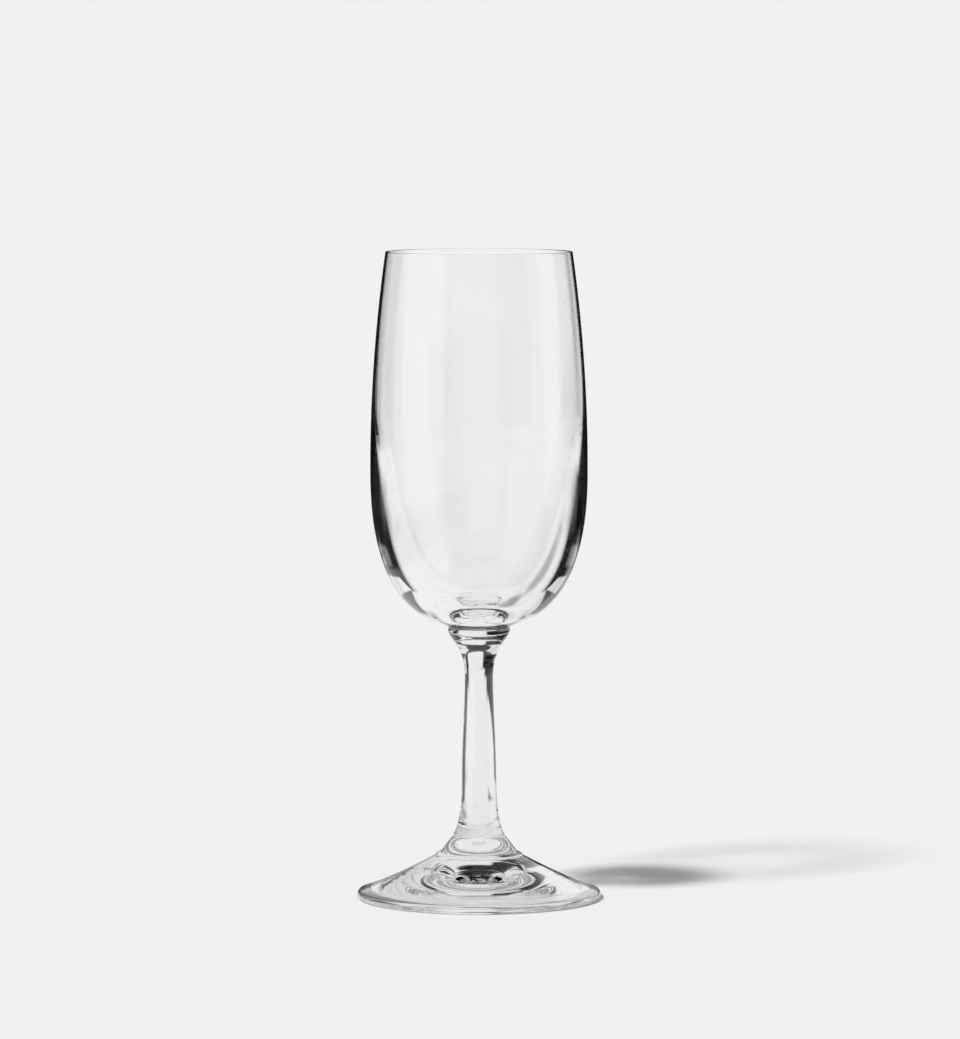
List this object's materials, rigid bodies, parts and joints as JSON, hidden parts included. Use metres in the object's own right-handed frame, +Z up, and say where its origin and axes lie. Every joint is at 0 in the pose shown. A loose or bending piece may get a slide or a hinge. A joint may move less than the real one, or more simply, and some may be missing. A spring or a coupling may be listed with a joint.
{
  "type": "champagne glass",
  "caption": "Clear stemmed champagne glass: tall tulip bowl with a thin polished rim, solid stem with a flared head, and a conical foot with a domed underside, for sparkling wine.",
  "frame": {"origin": "centre of the foot's bearing ring, on the table", "axes": "+Z up along the axis that the glass is turned on; X and Y are any two level directions"},
  "size_m": [0.066, 0.066, 0.175],
  "materials": {
    "bowl_glass": "clear blown glass, fire polished",
    "stem_glass": "clear drawn glass, fire polished",
    "foot_glass": "clear pressed glass, fire polished"
  },
  "bodies": {
    "root": {"bowl": "bowl_glass", "stem": "stem_glass", "foot": "foot_glass"}
  },
  "joints": []
}
